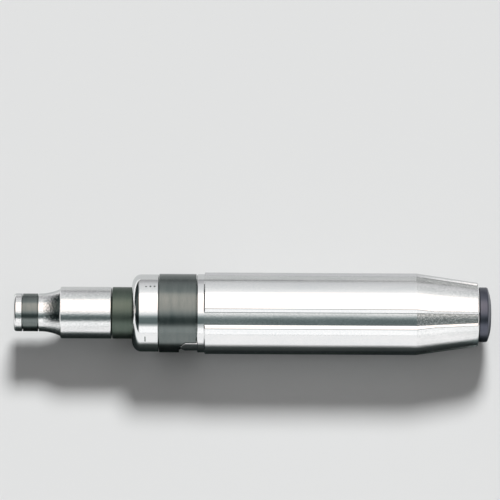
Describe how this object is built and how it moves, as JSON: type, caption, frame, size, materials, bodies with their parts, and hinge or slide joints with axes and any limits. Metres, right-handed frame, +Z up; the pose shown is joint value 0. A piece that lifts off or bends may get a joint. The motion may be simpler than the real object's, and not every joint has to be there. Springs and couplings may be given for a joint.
{
  "type": "hand impact driver",
  "caption": "Hand impact driver: a struck steel grip with crown cams that turn a sprung square spindle, a selector nose for direction and a pull-off hexagon bit holder.",
  "frame": {"origin": "on the surface the tool lies on, below the middle of its length", "axes": "+X along the tool's axis from the bit end to the struck end, +Z up from the surface, +Y away from the side the picture shows"},
  "size_m": [0.1864, 0.032, 0.0315],
  "materials": {
    "chrome": "bright chrome plate on forged steel, rougher in the grooves of the tapered end",
    "black_oxide": "black oxide, satin, slightly oiled",
    "steel": "turned and hardened, bare",
    "spring_steel": "drawn and tempered wire",
    "nitrile": "moulded, matt"
  },
  "bodies": {
    "grip": {"grip_body": "chrome", "striking_head": "black_oxide", "hammer_core": "steel", "hammer_cam": "steel", "cam_dowel_1": "steel", "cam_dowel_2": "steel", "cam_dowel_3": "steel", "spring_seat": "steel", "return_spring": "spring_steel", "index_spring": "spring_steel"},
    "index_detent": {"index_ball": "steel"},
    "selector": {"nose_sleeve": "chrome", "nose_seal": "nitrile", "nose_retaining_ring": "spring_steel", "thrust_washer": "steel", "selector_band": "black_oxide", "selector_key": "steel"},
    "plunger": {"spring_washer": "steel"},
    "drive_spindle": {"spindle": "black_oxide", "drive_ball_spring": "spring_steel"},
    "drive_detent": {"drive_ball": "steel"},
    "holder": {"bit_holder": "chrome", "bit_retaining_band": "black_oxide"},
    "bit_detent": {"bit_ball": "steel"}
  },
  "joints": [
    {"name": "direction_select", "type": "hinge", "parent": "grip", "child": "selector", "pos_m": [0, 0, 0.0155], "axis": [-1, 0, 0], "range_deg": [0, 44]},
    {"name": "spindle_plunge", "type": "slide", "parent": "selector", "child": "plunger", "axis": [1, 0, 0], "range_m": [0, 0.007], "stiffness_N_per_m": 3500, "springref_m": -0.005, "deforming": ["return_spring"]},
    {"name": "spindle_turn", "type": "hinge", "parent": "plunger", "child": "drive_spindle", "pos_m": [0, 0, 0.0155], "axis": [-1, 0, 0], "range_deg": [0, 22]},
    {"name": "bit_holder_pull", "type": "slide", "parent": "drive_spindle", "child": "holder", "axis": [-1, 0, 0], "range_m": [0, 0.012]},
    {"name": "drive_ball_sink", "type": "slide", "parent": "drive_spindle", "child": "drive_detent", "axis": [0, 0, -1], "range_m": [0, 0.0012], "stiffness_N_per_m": 600, "deforming": ["drive_ball_spring"]},
    {"name": "bit_ball_lift", "type": "slide", "parent": "holder", "child": "bit_detent", "axis": [0, 0, 1], "range_m": [0, 0.0004], "stiffness_N_per_m": 5000, "springref_m": -0.0002, "deforming": ["bit_retaining_band"]},
    {"name": "index_ball_sink", "type": "slide", "parent": "grip", "child": "index_detent", "axis": [1, 0, 0], "range_m": [0, 0.0004], "stiffness_N_per_m": 3000, "springref_m": -0.0004, "deforming": ["index_spring"]}
  ],
  "couplings": [
    {"joint": "spindle_turn", "follows": "spindle_plunge", "rad_per_m": 54.853},
    {"joint": "drive_ball_sink", "follows": "bit_holder_pull", "ratio": 0.1}
  ]
}
